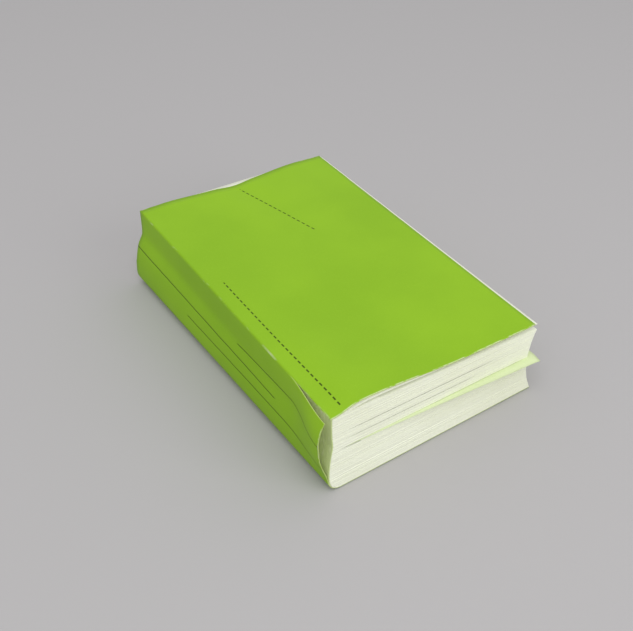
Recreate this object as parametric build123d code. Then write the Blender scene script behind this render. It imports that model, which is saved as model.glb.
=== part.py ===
"""A thick, well-read paperback lying on its back cover.

The origin is the middle of the back cover's underside. X runs across the book from the spine to the
fore edge, Y along the spine from the tail to the head, and Z up through the leaves. Millimetres.
"""

import os
from math import atan, degrees

from build123d import *

os.makedirs("parts", exist_ok=True)

# The whole book: the size of a leaf, and the thickness over both covers at the spine and fore edge.
page_width = 111.0
page_height = 178.0
spine_thickness = 42.5
fore_thickness = 39.5

# The card of the cover, the film of glue on the back of the leaves, and the play between pieces.
card = 0.35
glue = 0.4
play = 0.1
glue_start = 0.14  # as a share of the way up the block's back

# The hinge creases: their distance from the spine, and the slit between a panel and its strip.
hinge_offset = 6.3
hinge_slit = 0.3

# Reading has rolled the spine. The front of the block has moved across by a lean, the back bulges
# low down, is drawn in at a waist above that, and is rounded where it meets the back cover.
bulge_height, waist_height = 0.2, 0.6
tail_lean, tail_bulge, tail_waist, tail_round = -2.0, 3.0, -1.4, 3.5
head_lean, head_bulge, head_waist, head_round = 3.0, 3.1, 0.8, 2.5
tail_hollow, head_hollow = 4.0, 3.0  # how far the fore edge is drawn in at mid height

# The spine panel has torn from the front cover at the tail and stands off the block there.
tear_length = 32.0
flare = 6.2
flare_drop = 0.7
flare_start, flare_full, flare_turn = 0.12, 0.64, 0.7  # as shares of the spine's height
flare_at_fold = 0.5  # how much of the flare is left at the torn edge

# The front cover has let go of the block at the tail, and humps there.
hump = 3.1
hump_length = 65.0
hump_rise, hump_fall_start, hump_fall_end = 14.0, 18.0, 70.0

# Its head edge is worn back in a shallow curve, and it is buckled about an oblique crease there.
wear_depth, wear_deepest, wear_end = 3.5, 54.0, 98.0
buckle = 0.8
buckle_reach = 12.0
buckle_length = 70.0
buckle_from_spine, buckle_from_fore = 20.0, 30.0
crease_at_head, crease_slant = 51.6, -0.244
tail_setback, head_setback = 1.6, 1.0  # from the leaves' fore edge

# The leaf that has come loose and swung out at the tail.
leaf_level = 0.535
leaf_thickness = 0.15
leaf_width = 107.0
leaf_height = 177.0
leaf_start = 3.0
leaf_tuck = 0.3
leaf_swing = 2.5

spine_x, tail_y = -page_width / 2, -page_height / 2
stand_off = play + glue + play
block_bottom = card + play
fold_overlap = 0.2
strip_edge = 0.1


def smooth(share):
    """0 up to 0, 1 from 1 on, with an even S between."""
    share = min(max(share, 0.0), 1.0)
    return share * share * (3 - 2 * share)


def between(tail, head, along):
    return tail + (head - tail) * along


def steps(count):
    return [i / (count - 1) for i in range(count)]


def outside(across):
    """The height of the front cover's outer face where it lies flat."""
    return between(spine_thickness, fore_thickness, across / page_width)


def on_front(across, along, height):
    """A point of the book's leaning front, from its distance across and its share of the length."""
    lean = between(tail_lean, head_lean, along)
    return Vector(spine_x + lean + across, tail_y + along * page_height, height)


def spine_curve(y, lean, bulge, waist, rounding):
    """The back of the block at one end, from the back cover up to the front cover."""
    top = outside(0) - card - play
    low = (spine_x + rounding, y, block_bottom)
    belly = (spine_x - bulge, y, bulge_height * spine_thickness)
    narrow = (spine_x + waist, y, waist_height * spine_thickness)
    high = (spine_x + lean, y, top)
    return Spline(low, belly, narrow, high, tangents=[(-1, 0, 0), (0, 0, 1)])


def block_end(y, lean, bulge, waist, rounding, hollow):
    """The outline of the leaves at one end, closed round the drawn-in fore edge."""
    back = spine_curve(y, lean, bulge, waist, rounding)
    fore_x = spine_x + page_width
    top = outside(page_width) - card - play
    front_corner = (fore_x + lean, y, top)
    middle = (fore_x + lean / 2 - hollow, y, (top + block_bottom) / 2)
    back_corner = (fore_x, y, block_bottom)
    fore = ThreePointArc(front_corner, middle, back_corner)
    outline = Wire([back, Line(back @ 1, front_corner), fore, Line(back_corner, back @ 0)])
    return Face(outline)


def leaf(grown=0.0):
    """The loose leaf where it lies, or with a margin the slot that it lies in."""
    slope = degrees(atan((spine_thickness - fore_thickness) * leaf_level / page_width))
    sheet = Box(
        leaf_width + 2 * grown,
        leaf_height + 2 * grown,
        leaf_thickness + 2 * grown,
        align=(Align.MIN, Align.MIN, Align.CENTER),
    )
    sheet = Pos(-grown, -grown, 0) * sheet
    corner = Pos(spine_x + leaf_start, tail_y + leaf_tuck, leaf_level * outside(leaf_start))
    return corner * Rot(0, slope, 0) * Rot(0, 0, -leaf_swing) * sheet


tail_end = block_end(tail_y, tail_lean, tail_bulge, tail_waist, tail_round, tail_hollow)
head_end = block_end(-tail_y, head_lean, head_bulge, head_waist, head_round, head_hollow)
whole_block = loft([tail_end, head_end], ruled=True)
block_back = whole_block.faces().sort_by(Axis.X)[0]


def page_block():
    return whole_block - leaf(grown=play)


def off_the_back(share, along, distance):
    """A point that stands off the block's back, from its shares of the height and the length."""
    return block_back.position_at(share, along) + block_back.normal_at(share, along) * distance


def spine_glue():
    shares = [between(glue_start, 1.0, share) for share in steps(20)]
    rows = [[off_the_back(share, along, play) for share in shares] for along in steps(8)]
    film = Face.make_surface_from_array_of_points(rows)
    return Solid.thicken(film, glue, normal_override=(-1, 0, 0))


def flare_at(share, along):
    """How far the torn spine panel stands out of its place."""
    from_tail = along * page_height
    height = smooth((share - flare_start) / (flare_full - flare_start))
    turned = max(0.0, share - flare_turn) / (1 - flare_turn)
    height *= 1 - (1 - flare_at_fold) * turned**2
    return flare * height * (1 - smooth(from_tail / tear_length))


def spine_panel():
    """The card over the spine, from the back cover's hinge round to the fold of the front cover."""
    rows = []
    torn_part = tear_length / page_height
    torn_rows = [torn_part * share for share in steps(11)]
    glued_rows = [between(torn_part, 1, share) for share in steps(7)]
    for along in torn_rows + glued_rows[1:]:
        y = tail_y + along * page_height
        start = spine_x + hinge_offset - hinge_slit / 2
        curve_start = off_the_back(0, along, play).X
        row = [Vector(between(start, curve_start, share), y, card) for share in (0, 0.5)]
        for share in steps(22):
            point = off_the_back(share, along, between(play, stand_off, smooth(share / glue_start)))
            torn = flare_at(share, along)
            row.append(point + Vector(-torn, 0, -flare_drop * share**2 * torn / flare))
        row.append(row[-1] + Vector(0, 0, play + fold_overlap))
        rows.append(row)
    sheet = Face.make_surface_from_array_of_points(rows)
    return Solid.thicken(sheet, card, normal_override=(-1, 0, 0))


def lift(across, along):
    """How far the front cover stands off the block."""
    from_tail = along * page_height
    rise = smooth(across / hump_rise)
    fall = 1 - smooth((across - hump_fall_start) / (hump_fall_end - hump_fall_start))
    tail_hump = hump * rise * fall * (1 - smooth(from_tail / hump_length))
    from_head = page_height - from_tail
    crease = crease_at_head - crease_slant * from_head
    ridge = smooth(abs(across - crease) / buckle_reach)
    edges = smooth(across / buckle_from_spine) * smooth((page_width - across) / buckle_from_fore)
    return tail_hump + buckle * ridge * edges * (1 - smooth(from_head / buckle_length))


def worn(across):
    """How far the head edge has worn back."""
    rise = smooth(across / wear_deepest)
    return wear_depth * rise * (1 - smooth((across - wear_deepest) / (wear_end - wear_deepest)))


def front_sheet(start, end_at, columns, head_edge):
    """A stretch of the front cover's card, between two distances from the fold."""
    rows = []
    for along in steps(28):
        row = []
        for share in steps(columns):
            across = between(start, end_at(along), share)
            point = on_front(across, along, outside(across) - card + lift(across, along))
            point.Y -= along * head_edge(across)
            row.append(point)
        rows.append(row)
    sheet = Face.make_surface_from_array_of_points(rows)
    return Solid.thicken(sheet, card, normal_override=(0, 0, 1))


def spine_cover():
    fold = -stand_off - card + strip_edge
    strip_end = hinge_offset - hinge_slit / 2
    strip = front_sheet(fold, lambda along: strip_end, 5, lambda across: 0.0)
    return spine_panel() + strip


def front_cover():
    def fore_end(along):
        return page_width - between(tail_setback, head_setback, along)

    return front_sheet(hinge_offset + hinge_slit / 2, fore_end, 26, worn)


def back_cover():
    width = page_width - hinge_offset - hinge_slit / 2
    panel = Box(width, page_height, card, align=(Align.MAX, Align.CENTER, Align.MIN))
    return Pos(page_width / 2, 0, 0) * panel


pieces = {
    "page_block": page_block,
    "spine_glue": spine_glue,
    "spine_cover": spine_cover,
    "front_cover": front_cover,
    "back_cover": back_cover,
    "loose_leaf": leaf,
}
for name, make in pieces.items():
    export_step(make(), f"parts/{name}.step")
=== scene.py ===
"""A thick, well-read paperback lying on its back cover, with a torn spine joint and a loose leaf."""

import math
import random

import bmesh
import bpy
import numpy as np
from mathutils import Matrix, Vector, noise
from mathutils.bvhtree import BVHTree


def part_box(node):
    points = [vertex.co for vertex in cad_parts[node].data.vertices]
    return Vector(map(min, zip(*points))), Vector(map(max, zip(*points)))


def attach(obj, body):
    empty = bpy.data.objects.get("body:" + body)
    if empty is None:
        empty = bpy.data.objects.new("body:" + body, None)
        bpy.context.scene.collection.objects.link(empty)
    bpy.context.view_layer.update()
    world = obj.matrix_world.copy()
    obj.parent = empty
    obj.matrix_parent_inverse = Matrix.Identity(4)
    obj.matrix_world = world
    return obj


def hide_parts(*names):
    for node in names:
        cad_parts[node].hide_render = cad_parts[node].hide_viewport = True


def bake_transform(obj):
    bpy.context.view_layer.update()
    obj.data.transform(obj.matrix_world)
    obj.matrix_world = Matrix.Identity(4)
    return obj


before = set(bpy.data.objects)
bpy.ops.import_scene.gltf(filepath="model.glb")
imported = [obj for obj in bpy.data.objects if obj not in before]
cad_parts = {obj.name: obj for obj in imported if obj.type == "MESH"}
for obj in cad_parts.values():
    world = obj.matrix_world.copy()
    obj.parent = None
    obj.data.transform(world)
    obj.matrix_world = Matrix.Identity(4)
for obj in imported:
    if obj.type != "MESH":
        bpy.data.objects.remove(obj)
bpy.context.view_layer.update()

# ---------------------------------------------------------------------------------------------------
# The block of leaves. About 370 leaves of bulky cream book paper, trimmed together on three sides
# and gripped at the back. Reading has opened gaps between some of them, which show at the trimmed
# edges as dark lines, and has left each small bunch of leaves a little in or out of line.

mm = 0.001
page_width = 111.0 * mm
front_fall = 3.0 * mm
tail_lean, head_lean = -2.0 * mm, 3.0 * mm
block_low, block_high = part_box("page_block")
tail, head = block_low.y, block_high.y
length = head - tail
spine_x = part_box("back_cover")[1].x - page_width
block_floor = block_low.z
bunches = 92
bunch_shift = 0.16 * mm
wander_reach = 0.05 * mm
groove_depth, groove_half_height = 0.1 * mm, 0.05 * mm
end_margin = 0.02 * mm
gap_taper = 0.12
gap_depth = 4.0 * mm
gap_height = 0.66 * mm
draw = random.Random(11)


def smooth(share):
    """0 up to 0, 1 from 1 on, with an even S between."""
    share = min(max(share, 0.0), 1.0)
    return share * share * (3 - 2 * share)


def between(start, end, share):
    return start + (end - start) * share


def lean_at(along):
    """How far the book's front has moved across, at a share of its length."""
    return between(tail_lean, head_lean, along)


cad_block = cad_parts["page_block"].data
block_surface = BVHTree.FromPolygons(
    [vertex.co for vertex in cad_block.vertices], [polygon.vertices for polygon in cad_block.polygons]
)
just_inside = 0.9995
probe_count = 33
probe_heights = [between(block_low.z, block_high.z, (i + 0.5) / probe_count) for i in range(probe_count)]


def probe(y, direction):
    """The block's section at one end: how far across it reaches at each height."""
    found = []
    for z in probe_heights:
        hit = block_surface.ray_cast(Vector((-direction, y, z)), Vector((direction, 0, 0)))[0]
        found.append(hit.x if hit else found[-1])
    return found


ends = {side: [probe(end * just_inside, side) for end in (tail, head)] for side in (1, -1)}


def edge_at(side, y, z):
    """The back (side 1) or the fore edge (side -1) of the block."""
    near, far = (np.interp(z, probe_heights, ends[side][i]) for i in (0, 1))
    return between(float(near), float(far), (y - tail) / length)


def block_top(x, y):
    """The flat top of the block, which falls a little towards the fore edge."""
    across = x - spine_x - lean_at((y - tail) / length)
    return block_high.z - front_fall * across / page_width


# Where a gap has opened: its level in the block, the edge that it shows on, and its stretch there.
gaps = [
    (0.76, "tail", 0.05, 0.83),
    (0.65, "tail", 0.03, 0.74),
    (0.535, "tail", 0.02, 1.0),
    (0.535, "fore", 0.0, 0.97),
    (0.34, "fore", 0.12, 0.55),
    (0.81, "fore", 0.4, 0.9),
    (0.44, "head", 0.25, 0.9),
    (0.7, "head", 0.1, 0.6),
]
around = {"tail": 30, "fore": 44, "head": 30, "back": 14}
corners = [(name, step / count) for name, count in around.items() for step in range(count)]


def gap_at(level, name, share):
    """How open the leaves are at a level of the block, at a place on one of its edges."""
    openness = 0.0
    for gap_level, edge, start, end in gaps:
        if edge == name and abs(gap_level - level) < 1e-6:
            taper = min(share - start, end - share) / gap_taper
            openness = max(openness, smooth(taper))
    return openness


def block_point(name, share, level, inset, rise):
    """A point on the trimmed edges or the back, pushed in by an inset and moved up by a rise."""
    z = between(block_floor, block_high.z, level) + rise
    if name in ("tail", "head"):
        y = tail + inset if name == "tail" else head - inset
        across = share if name == "tail" else 1 - share
        x = between(edge_at(1, y, z), edge_at(-1, y, z), across)
    else:
        y = between(tail, head, share if name == "fore" else 1 - share)
        x = edge_at(-1, y, z) - inset if name == "fore" else edge_at(1, y, z)
    y = min(max(y, tail + end_margin), head - end_margin)
    return Vector((x, y, between(block_floor, block_top(x, y), level) + rise))


levels = sorted({round(i / bunches, 4) for i in range(1, bunches)} | {gap[0] for gap in gaps})
shifts = [draw.uniform(0.0, bunch_shift) for _ in range(len(levels) + 1)]

bm = bmesh.new()
place = bm.verts.layers.int.new("place")
bmesh.ops.create_circle(bm, segments=len(corners), radius=1.0)
bm.verts.ensure_lookup_table()
for index, vert in enumerate(bm.verts):
    vert[place] = index
    vert.co = block_point(*corners[index], 0.0, shifts[0], 0.0)
ring = list(bm.edges)
bm.faces.new(list(reversed(bm.verts)))


def raise_ring(ring, level, shift, sink, half_height):
    """Extrudes the ring of edges up to a level, shifted in, and sunk for a groove between bunches."""
    grown = bmesh.ops.extrude_edge_only(bm, edges=ring)["geom"]
    for vert in (item for item in grown if isinstance(item, bmesh.types.BMVert)):
        name, share = corners[vert[place]]
        openness = gap_at(level, name, share)
        wander = noise.noise(Vector((share * 9, level * 31, around[name]))) * wander_reach
        inset = shift + wander + sink * (groove_depth + openness * gap_depth)
        rise = half_height * (groove_half_height + openness * gap_height / 2)
        vert.co = block_point(name, share, level, inset, rise)
    return [item for item in grown if isinstance(item, bmesh.types.BMEdge)]


for level, below, above in zip(levels, shifts, shifts[1:]):
    ring = raise_ring(ring, level, below, 0, -1.2)
    ring = raise_ring(ring, level, (below + above) / 2, 1, -0.8)
    ring = raise_ring(ring, level, (below + above) / 2, 1, 0.8)
    ring = raise_ring(ring, level, above, 0, 1.2)
ring = raise_ring(ring, 1.0, shifts[-1], 0, 0)
bmesh.ops.contextual_create(bm, geom=ring)
bmesh.ops.recalc_face_normals(bm, faces=bm.faces)


def piece_from(bm, name, *materials):
    """Ends a bmesh as an object of that name at the origin."""
    mesh = bpy.data.meshes.new(name)
    bm.to_mesh(mesh)
    bm.free()
    for material in materials:
        mesh.materials.append(material)
    made = bpy.data.objects.new(name, mesh)
    bpy.context.scene.collection.objects.link(made)
    return made


class Signal:
    """A socket's output, on which arithmetic adds Math nodes."""

    def __init__(self, finish, socket):
        self.finish, self.socket = finish, socket

    def _maths(self, operation, *values):
        sockets = dict(enumerate(values))
        return self.finish.node("Math", {"operation": operation}, sockets)

    def __add__(self, other):
        return self._maths("ADD", self, other)

    def __sub__(self, other):
        return self._maths("SUBTRACT", self, other)

    def __mul__(self, other):
        return self._maths("MULTIPLY", self, other)

    def __truediv__(self, other):
        return self._maths("DIVIDE", self, other)

    def __rsub__(self, other):
        return self._maths("SUBTRACT", other, self)

    def __abs__(self):
        return self._maths("ABSOLUTE", self)

    __radd__, __rmul__ = __add__, __mul__

    def fraction(self):
        return self._maths("FRACT", self)

    def high(self, other):
        return self._maths("MAXIMUM", self, other)

    def low(self, other):
        return self._maths("MINIMUM", self, other)

    def rising(self, start, end):
        """0 where this is at start, 1 where it is at end, with an even S between."""
        settings = {"interpolation_type": "SMOOTHSTEP"}
        values = {"Value": self, "From Min": start, "From Max": end}
        if end < start:
            values.update({"From Min": end, "From Max": start, "To Min": 1.0, "To Max": 0.0})
        return self.finish.node("MapRange", settings, values)


class Finish:
    """A material, with what its Principled shader is fed."""

    def __init__(self, name, roughness, **constants):
        self.material = bpy.data.materials.new(name)
        self.material.use_nodes = True
        self.tree = self.material.node_tree
        self.shader = self.tree.nodes["Principled BSDF"]
        self.shader.inputs["Roughness"].default_value = roughness
        for socket, value in constants.items():
            self.shader.inputs[socket.replace("_", " ")].default_value = value
        self.place = self.node("TexCoord", output="Object")

    def feed(self, socket, value):
        if isinstance(value, Signal):
            self.tree.links.new(value.socket, socket)
        elif socket.type == "RGBA":
            socket.default_value = (*value[:3], 1.0)
        else:
            socket.default_value = value

    def node(self, kind, settings=None, sockets=None, output=0):
        """One node of that kind: its settings first, then the values or links of its sockets."""
        made = self.tree.nodes.new("ShaderNode" + kind)
        for key, value in (settings or {}).items():
            setattr(made, key, value)
        for key, value in (sockets or {}).items():
            self.feed(made.inputs[key], value)
        return Signal(self, made.outputs[output])

    def along(self, axis):
        """One coordinate of the place on the piece, in millimetres."""
        return self.node("SeparateXYZ", sockets={0: self.place}, output=axis) * 1000.0

    def grain(self, scale, detail=3.0, stretch=(1.0, 1.0, 1.0)):
        """Noise about 0.5, with a scale in bumps a metre along each axis."""
        stretched = self.node("Mapping", sockets={"Vector": self.place, "Scale": stretch})
        return self.node("TexNoise", sockets={"Vector": stretched, "Scale": scale, "Detail": detail})

    def attribute(self, name):
        return self.node("Attribute", {"attribute_name": name}, output="Fac")

    def blend(self, share, first, second):
        """One colour over another by a share."""
        return self.node("Mix", {"data_type": "RGBA"}, {0: share, 6: first, 7: second}, output=2)

    def bump(self, height, distance, strength=1.0):
        sockets = {"Height": height, "Distance": distance, "Strength": strength}
        return self.node("Bump", sockets=sockets)

    def show(self, **values):
        for socket, value in values.items():
            self.feed(self.shader.inputs[socket.replace("_", " ")], value)
        return self.material


def colour(red, green, blue):
    """A screen colour in steps of 255, as linear light."""
    shares = [level / 255 for level in (red, green, blue)]
    return tuple(s / 12.92 if s <= 0.04045 else ((s + 0.055) / 1.055) ** 2.4 for s in shares)


def paper(name, pale, aged):
    """Uncoated book paper: cut edges with fine lines from leaf to leaf, and soft fibres on the flat."""
    finish = Finish(name, 0.85, Specular_IOR_Level=0.2)
    facing = finish.node("NewGeometry", output="Normal")
    trimmed = 1.0 - abs(finish.node("SeparateXYZ", sockets={0: facing}, output=2)).rising(0.7, 0.95)
    leaves = finish.grain(900, 2.0, (0.02, 0.02, 9.0)) * trimmed
    bunched = finish.grain(160, 2.0, (0.05, 0.05, 7.0)) * trimmed
    clouds = finish.grain(28, 4.0)
    fibres = finish.grain(2600, 2.0)
    ageing = (clouds.rising(0.35, 0.75) * 0.45 + bunched.rising(0.45, 0.75) * 0.4).low(1.0)
    shade = finish.blend(ageing, pale, aged)
    shade = finish.blend(leaves.rising(0.62, 0.72) * 0.35, shade, tuple(0.72 * part for part in aged))
    height = leaves * 0.6 + bunched * 0.25 + fibres * 0.15
    finish.show(Base_Color=shade, Normal=finish.bump(height, 0.12 * mm, 0.55))
    return finish.show(Roughness=0.78 + fibres * 0.14)


page_paper = paper("book_paper", colour(246, 249, 231), colour(236, 239, 213))
leaves = piece_from(bm, "leaves", page_paper)
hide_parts("page_block")
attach(leaves, "book_block")

# ---------------------------------------------------------------------------------------------------
# The first leaf. It lies on the block under the front cover, and its tail edge has lifted a little
# into the space under the cover's hump.

leaf_lift = 1.5 * mm
leaf_lift_length = 38 * mm


def sheet_of(columns, rows, shape):
    """A sheet of columns by rows cells, each corner placed by shape from its shares of the two."""
    bm = bmesh.new()
    bmesh.ops.create_grid(bm, x_segments=columns, y_segments=rows, size=1.0)
    for vert in bm.verts:
        vert.co = shape((vert.co.x + 1) / 2, (vert.co.y + 1) / 2)
    return bm


def thicken(piece, thickness, offset=-1.0, inner=0, rim=0):
    """Gives a sheet its thickness, away from its outward face."""
    solid = piece.modifiers.new("thickness", "SOLIDIFY")
    solid.thickness, solid.offset = thickness, offset
    solid.use_even_offset = True
    solid.material_offset, solid.material_offset_rim = inner, rim


def first_leaf_shape(u, v):
    """The sheet on top of the block, with the lift of its tail edge."""
    y = between(tail + 0.15 * mm, head - 0.2 * mm, v)
    x = spine_x + lean_at(v) + between(1.0 * mm, 110.8 * mm, u)
    curl = smooth((u - 0.03) / 0.13) * (1 - smooth((u - 0.18) / 0.42))
    curl *= (1 - smooth((y - tail) / leaf_lift_length)) ** 2
    return Vector((x, y, block_top(x, y) + 0.08 * mm + leaf_lift * curl))


first_leaf = piece_from(sheet_of(34, 44, first_leaf_shape), "first_leaf", page_paper)
first_leaf.data.shade_smooth()
thicken(first_leaf, 0.07 * mm)
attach(first_leaf, "book_block")

# ---------------------------------------------------------------------------------------------------
# The film of glue on the back of the leaves. Hot-melt, brushed on and set: pale and waxy, with the
# torn fibres of the card on it where the spine panel has come away. Its green base carries painted
# shade: the darker tone that the bound back shows in the shade of the torn gap.

film = Finish("binding_glue", 0.5)
fibres = film.grain(700, 4.0, (1.0, 1.0, 0.25))
streaks = film.grain(120, 3.0, (1.0, 0.2, 1.0))
# Painted shade in the base green, the bound back's shaded tone; the pale fibres and darker streaks are
# the glue's own.
glue_tone_and_shade = film.blend(fibres.rising(0.5, 0.72) * 0.8, colour(207, 224, 156), colour(226, 236, 190))
glue_tone_and_shade = film.blend(streaks.rising(0.55, 0.8) * 0.4, glue_tone_and_shade, colour(180, 196, 126))
film.show(Base_Color=glue_tone_and_shade, Normal=film.bump(fibres + streaks, 0.5 * mm, 0.6))
film.show(Roughness=0.35 + fibres * 0.4)
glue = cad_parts["spine_glue"]
glue.data.materials.clear()
glue.data.materials.append(film.material)

# ---------------------------------------------------------------------------------------------------
# The cover card: 0.35 mm board, lime green under a satin film outside and bare white inside. Rubbing
# has taken the green off its corners and edges, and reading has left fine cracked creases in it, which
# are painted dark as painted shade in their grooves.

card = 0.35 * mm
play = 0.1 * mm
lime, lime_deep, lime_pale = colour(146, 193, 32), colour(137, 184, 27), colour(158, 202, 52)
# Painted shade for the creases: a near-black green painted along each one for the shade in its groove.
crease_painted_shade = colour(48, 62, 14)
worn_green = colour(226, 230, 196)
# The creases, in millimetres from the origin: the two dashed ones on the front, then each along the
# spine as its height, its ends along the book and its rise for each millimetre.
crease_width = 0.42
dash_pitch = 3.3
hinge_crease_x, hinge_crease_slant = -48.7, 5.0 / 178.0
slant_crease_x, slant_crease_y, slant_crease_run, slant_crease_square = 1.2, 78.0, 0.222, 0.976
reading_creases = [(21.2, -48.0, 95.0, 0.012), (14.6, -95.0, 33.0, -0.006), (26.2, -95.0, -12.0, -0.045)]


def crease_line(distance, width):
    """A thin line where a distance in millimetres is near nought."""
    return abs(distance).rising(width, width * 0.45)


def cover_face():
    """The green outside of the cover."""
    finish = Finish("lime_cover", 0.5, Specular_IOR_Level=0.22)
    x, y, z = (finish.along(axis) for axis in range(3))
    clouds = finish.grain(18, 4.0)
    specks = finish.grain(1500, 2.0)
    scuffs = finish.grain(240, 5.0, (1.0, 0.35, 1.0))
    shade = finish.blend(clouds.rising(0.3, 0.75), lime_deep, lime)
    shade = finish.blend(specks.rising(0.45, 0.8) * 0.22, shade, lime_pale)
    wobble = (finish.grain(60, 2.0) - 0.5) * 0.7
    top = z.rising(38.0, 39.0)
    # The hinge crease beside the spine, and the oblique crease from the head edge.
    dashes = abs((y / dash_pitch).fraction() - 0.5).rising(0.33, 0.27) * top
    hinge = x - y * hinge_crease_slant - hinge_crease_x + wobble * 0.5
    hinge_reach = y.rising(-86.5, -85.5) * y.rising(12.5, 11.0)
    slant = x - (slant_crease_x - (y - slant_crease_y) * slant_crease_run)
    slant = slant * slant_crease_square + wobble * 0.5
    slant_reach = y.rising(25.5, 27.0) * y.rising(81.0, 79.5)
    creased = crease_line(hinge, crease_width) * dashes * hinge_reach
    creased = creased.high(crease_line(slant, crease_width) * dashes * slant_reach)
    # The creases along the spine, where the book was bent back to be read.
    spine = x.rising(-54.6, -55.6)
    for height, low_end, high_end, drift in reading_creases:
        line = crease_line(z - height - y * drift + wobble, 0.3)
        line = line * y.rising(low_end, low_end + 2.0) * y.rising(high_end, high_end - 2.0) * spine
        creased = creased.high(line)
    # Painted shade: the creases are painted dark for the shade in their grooves, over a shallow bump.
    shade = finish.blend(creased * 0.9, shade, crease_painted_shade)
    rubbed = finish.attribute("edge").rising(0.75, 0.1) * scuffs.rising(0.42, 0.6)
    worn_fold = finish.attribute("fold").rising(0.9, 0.15) * scuffs.rising(0.5, 0.66) * 0.7
    worn = rubbed.high(worn_fold)
    shade = finish.blend(worn * 0.75, shade, worn_green)
    height = specks * 0.12 + scuffs * 0.1 - creased * 1.2 - worn * 0.4
    finish.show(Base_Color=shade, Normal=finish.bump(height, 0.25 * mm, 0.6))
    roughness = 0.5 + clouds * 0.08 + specks * 0.06 + worn * 0.3 + creased * 0.2
    return finish.show(Roughness=roughness)


def bare_card(name, pale, aged):
    """Uncoated card: the inside of the cover, and its cut edge."""
    finish = Finish(name, 0.8, Specular_IOR_Level=0.25)
    fibres = finish.grain(1800, 3.0)
    clouds = finish.grain(35, 4.0)
    shade = finish.blend(clouds.rising(0.35, 0.8) * 0.7 + fibres * 0.15, pale, aged)
    finish.show(Base_Color=shade, Normal=finish.bump(fibres + clouds, 0.1 * mm, 0.5))
    return finish.show(Roughness=0.7 + fibres * 0.2)


cover_green = cover_face()
cover_white = bare_card("card_inside", colour(243, 243, 234), colour(228, 228, 212))
cover_rim = bare_card("card_edge", colour(196, 214, 130), colour(170, 196, 96))

# ---------------------------------------------------------------------------------------------------
# The front cover and the spine. The card starts at the back hinge, turns up round the back of the
# block, folds over the front and runs out to the fore edge. It has torn open along the fold at the
# tail.

hinge_offset = 6.3 * mm
glue_gap = 0.6 * mm
tear = 32.0 * mm
flare = 6.2 * mm
flare_drop = 0.7 * mm
hump_height, hump_length = 3.1 * mm, 65 * mm
hump_rise, hump_fall_start, hump_fall = 14 * mm, 18 * mm, 52 * mm
buckle, buckle_reach, buckle_length = 0.8 * mm, 12 * mm, 70 * mm
crease_at_head, crease_slant = 51.6 * mm, 0.244
tail_setback, head_setback = 1.6 * mm, 1.0 * mm
wear_depth, wear_deepest, wear_fall = 3.5 * mm, 54 * mm, 44 * mm
bottom_columns = 3
path_columns = 26
turn_points = 11
strip_columns = [0.0, 0.35, 0.8, 1.6, 2.6, 3.6, 4.6, 5.5]
roll_columns = [6.1, 6.6, 7.1, 7.6, 8.1, 8.6, 9.1, 9.6, 10.2, 11.0, 12.0, 13.2]
panel_columns = [between(14.6, page_width / mm, i / 41) for i in range(42)]
across_columns = strip_columns + roll_columns + panel_columns
pivot = Vector((spine_x + 8.0 * mm, 0.0, 8.0 * mm))


def back_path(y):
    """Points up the block's back, from under the block to the fold, with the way out at each."""
    points = []
    y_probe = min(max(y, tail * just_inside), head * just_inside)
    for step in range(turn_points):
        angle = math.radians(between(30.0, 90.0, step / (turn_points - 1)))
        way = Vector((-math.sin(angle), 0, -math.cos(angle)))
        start = Vector((pivot.x, y_probe, pivot.z))
        points.append(block_surface.ray_cast(start, way)[0])
    rise = block_high.z - pivot.z
    upright = path_columns - turn_points
    for step in range(1, upright + 1):
        z = pivot.z + rise * min(step / upright, 0.999)
        points.append(Vector((edge_at(1, y, z), y_probe, z)))
    ways = []
    for index, point in enumerate(points):
        run = points[min(index + 1, len(points) - 1)] - points[max(index - 1, 0)]
        ways.append(Vector((-run.z, 0, run.x)).normalized())
    return points, ways


def hump(across, y):
    """How far the front panel stands off the block."""
    rise = smooth(across / hump_rise) * (1 - smooth((across - hump_fall_start) / hump_fall))
    lift = hump_height * rise * (1 - smooth((y - tail) / hump_length))
    crease = crease_at_head + crease_slant * (head - y)
    ridge = smooth(abs(across - crease) / buckle_reach)
    ridge *= smooth(across / (20 * mm)) * smooth((page_width - across) / (30 * mm))
    return lift + buckle * ridge * (1 - smooth((head - y) / buckle_length))


def front_shape(across, v):
    """A point of the front panel's outside, at a distance from the fold and a share of the length."""
    worn = wear_depth * smooth(across / wear_deepest)
    worn *= 1 - smooth((across - wear_deepest) / wear_fall)
    reach = across * (1 - between(tail_setback, head_setback, v) / page_width)
    y = between(tail, head - worn, v)
    x = spine_x + lean_at(v) + reach
    return Vector((x, y, block_top(x, y) + play + card + hump(reach, y)))


def flare_at(share, y):
    """How far the torn spine panel stands out of its place."""
    turned = max(0.0, share - 0.7) / 0.3
    height = smooth((share - 0.12) / 0.52) * (1 - 0.5 * turned**2)
    return flare * height * (1 - smooth((y - tail) / tear))


rows = 64
row_places = [(row / (rows - 1)) ** 1.35 for row in range(rows)]
start_x = spine_x + hinge_offset
fold_column = bottom_columns + path_columns
cover_columns = fold_column + len(across_columns)

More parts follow.
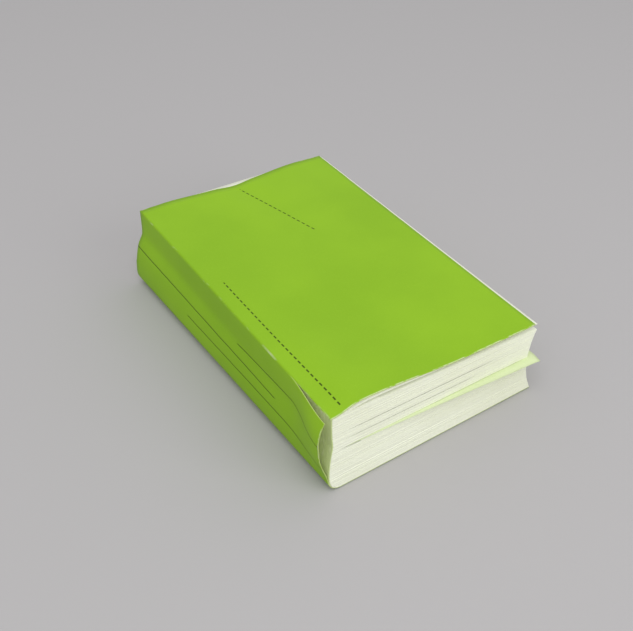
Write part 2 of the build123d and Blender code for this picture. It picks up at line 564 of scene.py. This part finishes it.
bm = bmesh.new()
bmesh.ops.create_grid(bm, x_segments=cover_columns - 1, y_segments=rows - 1, size=1.0)
column_of = bm.verts.layers.int.new("column")
row_of = bm.verts.layers.int.new("row")
paths = [back_path(between(tail, head, v)) for v in row_places]
for vert in bm.verts:
    column = round((vert.co.x + 1) / 2 * (cover_columns - 1))
    row = round((vert.co.y + 1) / 2 * (rows - 1))
    vert[column_of], vert[row_of] = column, row
    v = row_places[row]
    y = between(tail, head, v)
    points, ways = paths[row]
    if column < bottom_columns:
        x = between(start_x, points[0].x, column / bottom_columns)
        vert.co = Vector((x, y, 0.0))
    elif column < fold_column:
        index = column - bottom_columns
        share = max(0.0, (points[index].z - block_floor) / (block_high.z - block_floor))
        away = between(play, glue_gap, smooth(share / 0.14)) + card
        vert.co = points[index] + ways[index] * away
        vert.co.y = y
        vert.co.z = max(vert.co.z, 0.0)
    else:
        across = across_columns[column - fold_column] * mm
        vert.co = front_shape(across, v)
        if column == fold_column:
            vert.co.x -= glue_gap + card * 0.7
            vert.co.z -= 0.12 * mm

# The sheet is cut along the fold, and the spine panel flares at the tear.
spine_bm = bm.copy()
for sheet, on_spine in ((spine_bm, True), (bm, False)):
    column_of = sheet.verts.layers.int["column"]
    spare = []
    for face in sheet.faces:
        if (min(vert[column_of] for vert in face.verts) < fold_column) != on_spine:
            spare.append(face)
    bmesh.ops.delete(sheet, geom=spare, context="FACES")
column_of = spine_bm.verts.layers.int["column"]
row_of = spine_bm.verts.layers.int["row"]
for vert in spine_bm.verts:
    y = between(tail, head, row_places[vert[row_of]])
    if vert[column_of] >= bottom_columns:
        share = (vert.co.z - block_floor) / (block_high.z - block_floor)
        out = flare_at(min(share, 1.0), y)
        vert.co.x -= out
        vert.co.z -= flare_drop * share**2 * out / flare


def mark_edges(piece, edge_distance, fold_distance):
    """Stores how far each point is from the sheet's cut edge and from its fold, in millimetres."""
    for name, distance in (("edge", edge_distance), ("fold", fold_distance)):
        values = [distance(vert.co) / mm for vert in piece.data.vertices]
        piece.data.attributes.new(name, "FLOAT", "POINT").data.foreach_set("value", values)


def front_edge(co):
    fore = spine_x + 110.0 * mm - co.x + lean_at((co.y - tail) / length)
    return min(co.y - tail, head - co.y, abs(fore))


def front_fold(co):
    lean = lean_at((co.y - tail) / length)
    return math.hypot(co.x - spine_x - lean + 0.9 * mm, co.z - block_high.z - card)


def turn_outward(bm, inside=Vector((0, 0, 0.02))):
    """Turns the sheet's faces away from a point inside the book."""
    bmesh.ops.recalc_face_normals(bm, faces=bm.faces)
    outward = sum(face.normal.dot(face.calc_center_median() - inside) for face in bm.faces)
    if outward < 0:
        bmesh.ops.reverse_faces(bm, faces=bm.faces)


turn_outward(bm)
turn_outward(spine_bm)
cover = piece_from(bm, "front_cover_panel", cover_green, cover_white, cover_rim)
spine = piece_from(spine_bm, "spine_panel", cover_green, cover_white, cover_rim)
for piece in (cover, spine):
    piece.data.shade_smooth()
    mark_edges(piece, front_edge, front_fold)
    thicken(piece, card, inner=1, rim=2)
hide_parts("spine_cover")
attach(spine, "book_block")
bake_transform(cover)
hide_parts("front_cover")

# ---------------------------------------------------------------------------------------------------
# The back cover's panel, flat and the same card as the front. The book lies on it, and it turns out
# from under the block at its crease.

back_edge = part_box("back_cover")[1].x


def back_shape(u, v):
    return Vector((between(start_x, back_edge, u), between(tail, head, v), 0.0))


bm = sheet_of(24, 40, back_shape)
turn_outward(bm)
back = piece_from(bm, "back_cover_panel", cover_green, cover_white, cover_rim)
back.data.shade_smooth()
mark_edges(back, lambda co: min(co.y - tail, head - co.y, back_edge - co.x), lambda co: 9 * mm)
thicken(back, card, inner=1, rim=2)
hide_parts("back_cover")
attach(back, "back_cover")

# ---------------------------------------------------------------------------------------------------
# The loose leaf. It has come away from the glue and swung out of the block at the tail and the fore
# edge, where its corner droops.

# The loose leaf is coloured greener and darker than the block's leaves.
leaf_paper = paper("loose_leaf_paper", colour(219, 232, 184), colour(206, 221, 166))
leaf_width, leaf_height = 107.0 * mm, 177.0 * mm
leaf_slope = 0.01446
leaf_corner = Vector((spine_x + 3.0 * mm, tail + 0.3 * mm, 0.535 * 42.42 * mm))
swing = math.radians(2.5)
corner_droop, edge_droop = 0.8 * mm, 0.9 * mm


def leaf_shape(u, v):
    """The sheet in its slot, drooping where it stands out past the block."""
    across, up = leaf_width * u, leaf_height * v
    x = leaf_corner.x + across * math.cos(swing) + up * math.sin(swing)
    y = leaf_corner.y - across * math.sin(swing) + up * math.cos(swing)
    outside = max(0.0, tail - y) / (4.5 * mm)
    past_edge = max(0.0, x - edge_at(-1, y, leaf_corner.z)) / (9 * mm)
    droop = corner_droop * smooth(outside) * smooth((u - 0.2) / 0.8) + edge_droop * smooth(past_edge)
    return Vector((x, y, leaf_corner.z - leaf_slope * across - droop))


loose = piece_from(sheet_of(60, 80, leaf_shape), "slipped_leaf", leaf_paper)
loose.data.shade_smooth()
thicken(loose, 0.12 * mm, offset=0.0)
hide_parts("loose_leaf")
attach(loose, "book_block")

# ---------------------------------------------------------------------------------------------------
# The setting: a plain pale grey floor, two large soft lamps and even light all round. The floor is
# just under the book, so that the back cover lies on it when it is opened.

floor_level = -0.45 * mm
bm = bmesh.new()
bmesh.ops.create_grid(bm, x_segments=1, y_segments=1, size=6.0)
bmesh.ops.translate(bm, verts=bm.verts, vec=(0, 0, floor_level))
floor_finish = Finish("pale_floor", 0.9, Specular_IOR_Level=0.1)
floor_finish.show(Base_Color=colour(184, 182, 183))
floor = piece_from(bm, "floor", floor_finish.material)


def lamp(name, place, size, power):
    """A square soft lamp that shines on the book."""
    light = bpy.data.lights.new(name, "AREA")
    light.size, light.energy = size, power
    made = bpy.data.objects.new(name, light)
    made.location = place
    made.rotation_euler = (-Vector(place)).to_track_quat("-Z", "Y").to_euler()
    bpy.context.scene.collection.objects.link(made)


lamp("soft_key", (-0.5, -0.6, 1.6), 1.2, 11.0)
lamp("soft_fill", (0.4, -1.3, 0.7), 0.9, 5.0)
world = bpy.data.worlds.new("room")
bpy.context.scene.world = world
world.use_nodes = True
world.node_tree.nodes["Background"].inputs["Color"].default_value = (1, 1, 1, 1)
world.node_tree.nodes["Background"].inputs["Strength"].default_value = 0.64
bpy.context.scene.view_settings.view_transform = "Standard"

camera = bpy.data.cameras.new("camera")
camera.lens, camera.sensor_width = 53.7, 36.0
camera.clip_start, camera.clip_end = 0.01, 20.0
viewer = bpy.data.objects.new("camera", camera)
viewer.location = (-0.2089, -0.3010, 0.3038)
turn, dip = math.radians(34.17), math.radians(38.84)
sight = Vector((math.sin(turn) * math.cos(dip), math.cos(turn) * math.cos(dip), -math.sin(dip)))
viewer.rotation_euler = sight.to_track_quat("-Z", "Y").to_euler()
bpy.context.scene.collection.objects.link(viewer)
bpy.context.scene.camera = viewer
